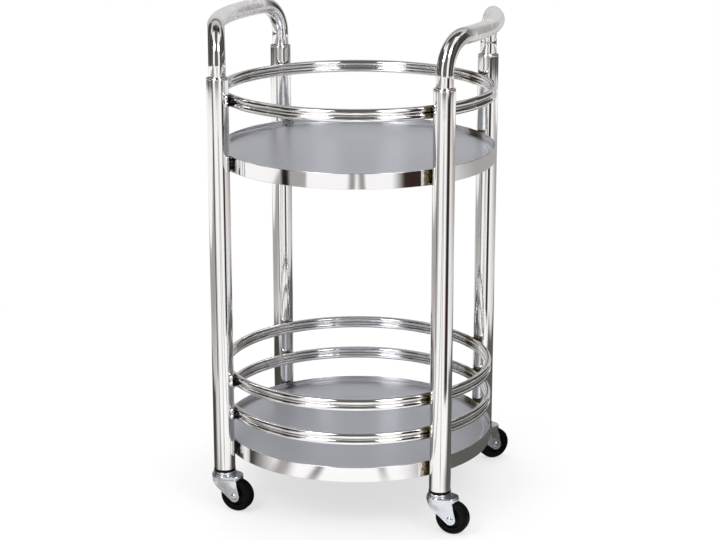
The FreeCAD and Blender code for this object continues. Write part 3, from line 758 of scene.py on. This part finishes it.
# %% Ring rails
RAILS = [f"{pair}_rail_{level}" for pair in ("top", "middle", "bottom") for level in ("upper", "lower")]
for node in RAILS:
    low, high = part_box(node)
    tube = (high.z - low.z) / 2
    form = bmesh.new()
    bmesh.ops.create_circle(form, cap_ends=False, segments=32, radius=tube)
    moved(form, Matrix.Rotation(math.pi / 2, 4, "X"),
          Matrix.Translation((high.x - tube, 0, (low.z + high.z) / 2)))
    bmesh.ops.spin(form, geom=form.verts[:] + form.edges[:], cent=(0, 0, 0), axis=(0, 0, 1),
                   angle=2 * math.pi, steps=288, use_merge=True)
    finish_piece(form, node, RING_STEEL)
print("rails", len(RAILS), "tube radius", round(tube, 5))

# %% [markdown]
# ## Shelves
# A shelf is a polished band with a ledge turned inward at its foot, and a satin pan that sits on that ledge. The
# pan's top steps down a little near its edge.

# %% Shelves
BAND_WALL = 1.5 * MM
LEDGE = 8 * MM
TRAY_SHEET = 1 * MM
TRAY_STEP = 1.5 * MM
RAIL_WIDTH = 9.5 * MM
STEP_INSET = 2 * MM
for shelf in ("upper_shelf", "lower_shelf"):
    low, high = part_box(shelf + "_band")
    out = high.x
    inside = out - BAND_WALL
    ledge_top = low.z + BAND_WALL
    band = turned([(inside - LEDGE, low.z, 0.3 * MM), (out, low.z, 0.6 * MM), (out, high.z, 0.6 * MM),
                   (inside, high.z, 0.6 * MM), (inside, ledge_top, 0.6 * MM),
                   (inside - LEDGE, ledge_top, 0.3 * MM)], steps=288)
    finish_piece(band, shelf + "_band", RING_STEEL)

    low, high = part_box(shelf + "_tray")
    edge = high.x
    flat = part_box("top_rail_upper")[1].x - RAIL_WIDTH - STEP_INSET
    step_end = flat + TRAY_STEP
    rim_top = high.z - TRAY_STEP
    tray = turned([(0, high.z - TRAY_SHEET, 0), (flat, high.z - TRAY_SHEET, 0.5 * MM),
                   (step_end, rim_top - TRAY_SHEET, 0.5 * MM), (edge - TRAY_SHEET, rim_top - TRAY_SHEET, 0.4 * MM),
                   (edge - TRAY_SHEET, low.z, 0.2 * MM), (edge, low.z, 0.2 * MM), (edge, rim_top, 0.8 * MM),
                   (step_end, rim_top, 0.8 * MM), (flat, high.z, 0.8 * MM), (0, high.z, 0)],
                  steps=192, closed=False)
    finish_piece(tray, shelf + "_tray", SATIN_STEEL)
print("shelf radius", round(out, 4), "flat", round(flat, 4))

# %% [markdown]
# ## Casters: what is turned
# Each caster is built at the origin with its wheel trailing to +X, and then set under its post by the direction
# that the CAD joint gives for its axle. The rivet, the wheel centre and the tyre are the same on both sides, so
# only one half of each is written down.

# %% Turned caster pieces
JOINT_OF = {joint["child"]: joint for joint in frame["joints"]}
TRAIL = 21 * MM
WHEEL_RADIUS = 25 * MM
ON_AXLE = Matrix.Translation((TRAIL, 0, WHEEL_RADIUS)) @ Matrix.Rotation(math.pi / 2, 4, "X")
SOCKET_BORE = 5.6 * MM
SOCKET_PLUG = 14.7 * MM
SOCKET_FLANGE = 4 * MM
CUP_HOLE = 3.6 * MM
CUP_WALL = 1.2 * MM


def caster_place(corner):
    """Matrix that sets a caster form under its post."""
    pivot = JOINT_OF[f"swivel_{corner}"]["pos_m"]
    axle = JOINT_OF[f"wheel_{corner}"]["pos_m"]
    turn = math.atan2(axle[1] - pivot[1], axle[0] - pivot[0])
    return Matrix.Translation((pivot[0], pivot[1], 0)) @ Matrix.Rotation(turn, 4, "Z")


def make_socket(corner):
    """Plastic plug in the post's end, with a flange below it."""
    low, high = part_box(f"caster_socket_{corner}")
    out = (high.x - low.x) / 2
    flange_top = low.z + SOCKET_FLANGE
    form = turned([(SOCKET_BORE, low.z, 0.3 * MM), (out, low.z, 0.6 * MM), (out, flange_top, 0.4 * MM),
                   (SOCKET_PLUG, flange_top, 0), (SOCKET_PLUG, high.z, 0.6 * MM), (SOCKET_BORE, high.z, 0.3 * MM)])
    finish_piece(moved(form, caster_place(corner)), f"caster_socket_{corner}", BLACK_PLASTIC)


def make_cup(corner):
    """Pressed cup over the bearing balls."""
    low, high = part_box(f"caster_cup_{corner}")
    out = (high.x - low.x) / 2
    inside = out - CUP_WALL
    under = high.z - CUP_WALL
    form = turned([(CUP_HOLE, under, 0), (inside, under, 0.6 * MM), (inside, low.z, 0.3 * MM),
                   (out, low.z, 0.4 * MM), (out, high.z, 1 * MM), (CUP_HOLE, high.z, 0)])
    finish_piece(moved(form, caster_place(corner)), f"caster_cup_{corner}", ZINC_PLATE)


def make_axle(corner):
    """Rivet with a domed head at each end, lying along the wheel's axle."""
    form = turned(both_sides((0, -16.1, 0), (3.7, -16.1, 1.8), (5, -14.3, 0.4), (5, -13.5, 0.3), (3, -13.5, 0)),
                  steps=48, closed=False)
    finish_piece(moved(form, ON_AXLE, caster_place(corner)), f"caster_axle_{corner}", ZINC_PLATE)


def make_hub(corner):
    """Plastic wheel centre: boss, recessed web and a rim under the tyre."""
    form = turned(both_sides((4.38, 11.1, 0.3), (7.48, 11.1, 0.5), (7.48, 3.5, 0.8), (15.5, 3.5, 0.8),
                             (15.5, 8.5, 0.5), (18.5, 8.5, 0.3)), steps=72)
    finish_piece(moved(form, ON_AXLE, caster_place(corner)), f"wheel_hub_{corner}", BLACK_PLASTIC)


def make_tyre(corner):
    """Rubber tyre with round shoulders and a thin mould groove round its middle."""
    form = turned(both_sides((18.5, -10, 0.5), (21.5, -10, 0.8), (25, -6.8, 2.2), (25, -0.5, 0), (24.8, -0.4, 0)))
    finish_piece(moved(form, ON_AXLE, caster_place(corner)), f"wheel_tyre_{corner}", RUBBER)


for corner in CORNERS:
    for make in (make_socket, make_cup, make_axle, make_hub, make_tyre):
        make(corner)
print("turned caster pieces", 5 * len(CORNERS))

# %% [markdown]
# ## Casters: the pressed fork
# The fork is one pressing: a long crown with a skirt, and two legs that grow out of the skirt and flatten towards
# the axle. Crown and legs each start as the convex hull of a few circles and corners, which is the shape a belt
# would take round them. The crown's rim is rounded, its underside is opened, and the shell that is left is
# thickened inward. A leg's edges are rounded, it is cut into a fine grid, and then its top is swelled out to the
# skirt and its face below is crowned.

# %% Pressed fork
CROWN_UNDERSIDE = 54.9 * MM
CROWN_TOP = 56.9 * MM
CROWN_RADIUS = 19.5 * MM
TAIL_REACH = 15 * MM
TAIL_RADIUS = 14.5 * MM
SKIRT_FOOT = 50 * MM
SHEET = 2 * MM
LEG_OUTSIDE = 13.5 * MM
FOOT_RADIUS = 8.5 * MM
LEG_HALF_WIDTH = 11 * MM
# Past this distance the crown's side is straight: it starts at this share of the radius, and narrows this steeply.
STRAIGHT_FROM = 6.5 * MM
STRAIGHT_SHARE = 0.943
NARROWING = 0.35
# The legs swell out from this height on, over this stretch, and stay this far inside the skirt.
SWELL_FROM = 36 * MM
SWELL_HEIGHT = 15 * MM
SKIRT_GAP = 0.3 * MM
# A leg's middle line leans back from the axle, square to LEG_LEAN (along, up). Its face is crowned by this much,
# from this distance off the axle on, in full after the blend.
LEG_LEAN = (0.80, 0.60)
CROWNING = 1.5 * MM
CROWNING_FROM = 7 * MM
CROWNING_BLEND = 8 * MM


def share(value):
    """The value kept between 0 and 1."""
    return min(max(value, 0), 1)


def belt(circles, low, high):
    """Solid whose outline is a belt round (x, y, radius) circles, from one height to another."""
    form = bmesh.new()
    for x, y, radius in circles:
        for height in (low, high):
            if radius > 0:
                bmesh.ops.create_circle(form, cap_ends=False, segments=72, radius=radius,
                                        matrix=Matrix.Translation((x, y, height)))
            else:
                bmesh.ops.create_vert(form, co=(x, y, height))
    bmesh.ops.delete(form, geom=form.edges[:], context="EDGES_FACES")
    made = bmesh.ops.convex_hull(form, input=form.verts)
    spare = of_kind(made["geom_interior"] + made["geom_unused"], bmesh.types.BMVert)
    bmesh.ops.delete(form, geom=list(set(spare)), context="VERTS")
    bmesh.ops.dissolve_limit(form, angle_limit=math.radians(0.5), verts=form.verts, edges=form.edges)
    return form


def round_rims(form, radius, segments, above=0):
    """Bevel the sharp edges that lie above a height."""
    sharp = [edge for edge in form.edges if edge.calc_face_angle(0) > math.radians(60)
             and min(end.co.z for end in edge.verts) > above]
    bmesh.ops.bevel(form, geom=sharp, offset=radius, offset_type="OFFSET", segments=segments, profile=0.5,
                    affect="EDGES", material=-1)


def slice_up(form, places, axis):
    """Cut a form by planes square to an axis, at places given in millimetres."""
    for place in places:
        bmesh.ops.bisect_plane(form, geom=form.verts[:] + form.edges[:] + form.faces[:], dist=1e-7,
                               plane_co=axis * (place * MM), plane_no=axis)


def skirt_reach(along):
    """Half width of the crown's outline at a distance along the fork."""
    if along < STRAIGHT_FROM:
        return math.sqrt(max(CROWN_RADIUS ** 2 - along ** 2, 0))
    return CROWN_RADIUS * STRAIGHT_SHARE - (along - STRAIGHT_FROM) * NARROWING


def swell(point):
    """How far a leg's vertex moves out: to the skirt near its top, and to the crowned face below."""
    rise = share((point.z - SWELL_FROM) / SWELL_HEIGHT)
    rise = rise * rise * (3 - 2 * rise)
    along = point.x - TRAIL
    up = point.z - WHEEL_RADIUS
    off_middle = abs(along * LEG_LEAN[0] + up * LEG_LEAN[1]) / LEG_HALF_WIDTH
    crowned = (CROWNING * max(1 - off_middle ** 2, 0)
               * share((math.hypot(along, up) - CROWNING_FROM) / CROWNING_BLEND))
    return rise * (skirt_reach(point.x) - SKIRT_GAP - LEG_OUTSIDE) + crowned * (1 - rise)


def make_leg(side):
    """One leg, as a belt round its foot on the axle and the three corners of its top."""
    circles = [(TRAIL, WHEEL_RADIUS, FOOT_RADIUS), *in_mm((23, 53, 0), (-18, 52.5, 0), (-8, 37, 0))]
    leg = moved(belt(circles, -LEG_OUTSIDE, SHEET - LEG_OUTSIDE), Matrix.Rotation(math.pi / 2, 4, "X"))
    round_rims(leg, 0.5 * MM, 2)
    slice_up(leg, range(26, 53, 2), Vector((0, 0, 1)))
    slice_up(leg, range(-16, 30, 2), Vector((1, 0, 0)))
    for point in leg.verts:
        point.co.y += swell(point.co)
    return moved(leg, Matrix.Scale(side, 4, (0, 1, 0)))


def make_crown():
    """Hollow crown with its skirt, open below."""
    crown = belt([(0, 0, CROWN_RADIUS), (TAIL_REACH, 0, TAIL_RADIUS)], SKIRT_FOOT, CROWN_TOP)
    round_rims(crown, 1.8 * MM, 4, above=CROWN_UNDERSIDE)
    under = [face for face in crown.faces if face.calc_center_median().z < SKIRT_FOOT + 1e-6]
    bmesh.ops.delete(crown, geom=under, context="FACES")
    bmesh.ops.solidify(crown, geom=crown.faces[:], thickness=SHEET)
    return crown


def make_fork(corner):
    """Crown, two legs and the lip that stands up round the bearing, as one piece."""
    lip = turned(in_mm((17, 56.2, 0), (18.2, 56.2, 0), (18.2, 58.5, 0.5), (17, 58.5, 0.4)))
    whole = bmesh.new()
    for form in (make_crown(), make_leg(1), make_leg(-1), lip):
        part = bpy.data.meshes.new("fork_part")
        bmesh.ops.recalc_face_normals(form, faces=form.faces)
        form.to_mesh(part)
        form.free()
        whole.from_mesh(part)
        bpy.data.meshes.remove(part)
    finish_piece(moved(whole, caster_place(corner)), f"caster_fork_{corner}", ZINC_PLATE)


for corner in CORNERS:
    make_fork(corner)
print("forks", len(CORNERS))

# %% [markdown]
# ## Pieces that stay as the CAD made them
# The small seats behind the rails and shelves, the stems, the bearing balls and the axle sleeves have the right
# shape already, so they only get a finish.

# %% Finish the CAD pieces
STAY = {"rail_seats": RING_STEEL, "shelf_seats": RING_STEEL}
for corner in CORNERS:
    for part in ("stem", "balls", "sleeve"):
        STAY[f"caster_{part}_{corner}"] = ZINC_PLATE
for node, material in STAY.items():
    for holder in frame["nodes"][node].material_slots:
        holder.material = material
print("kept CAD pieces", len(STAY))

# %% Sizes and the end
low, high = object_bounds()
print("visual box", [round(part, 4) for part in (*low, *high)])
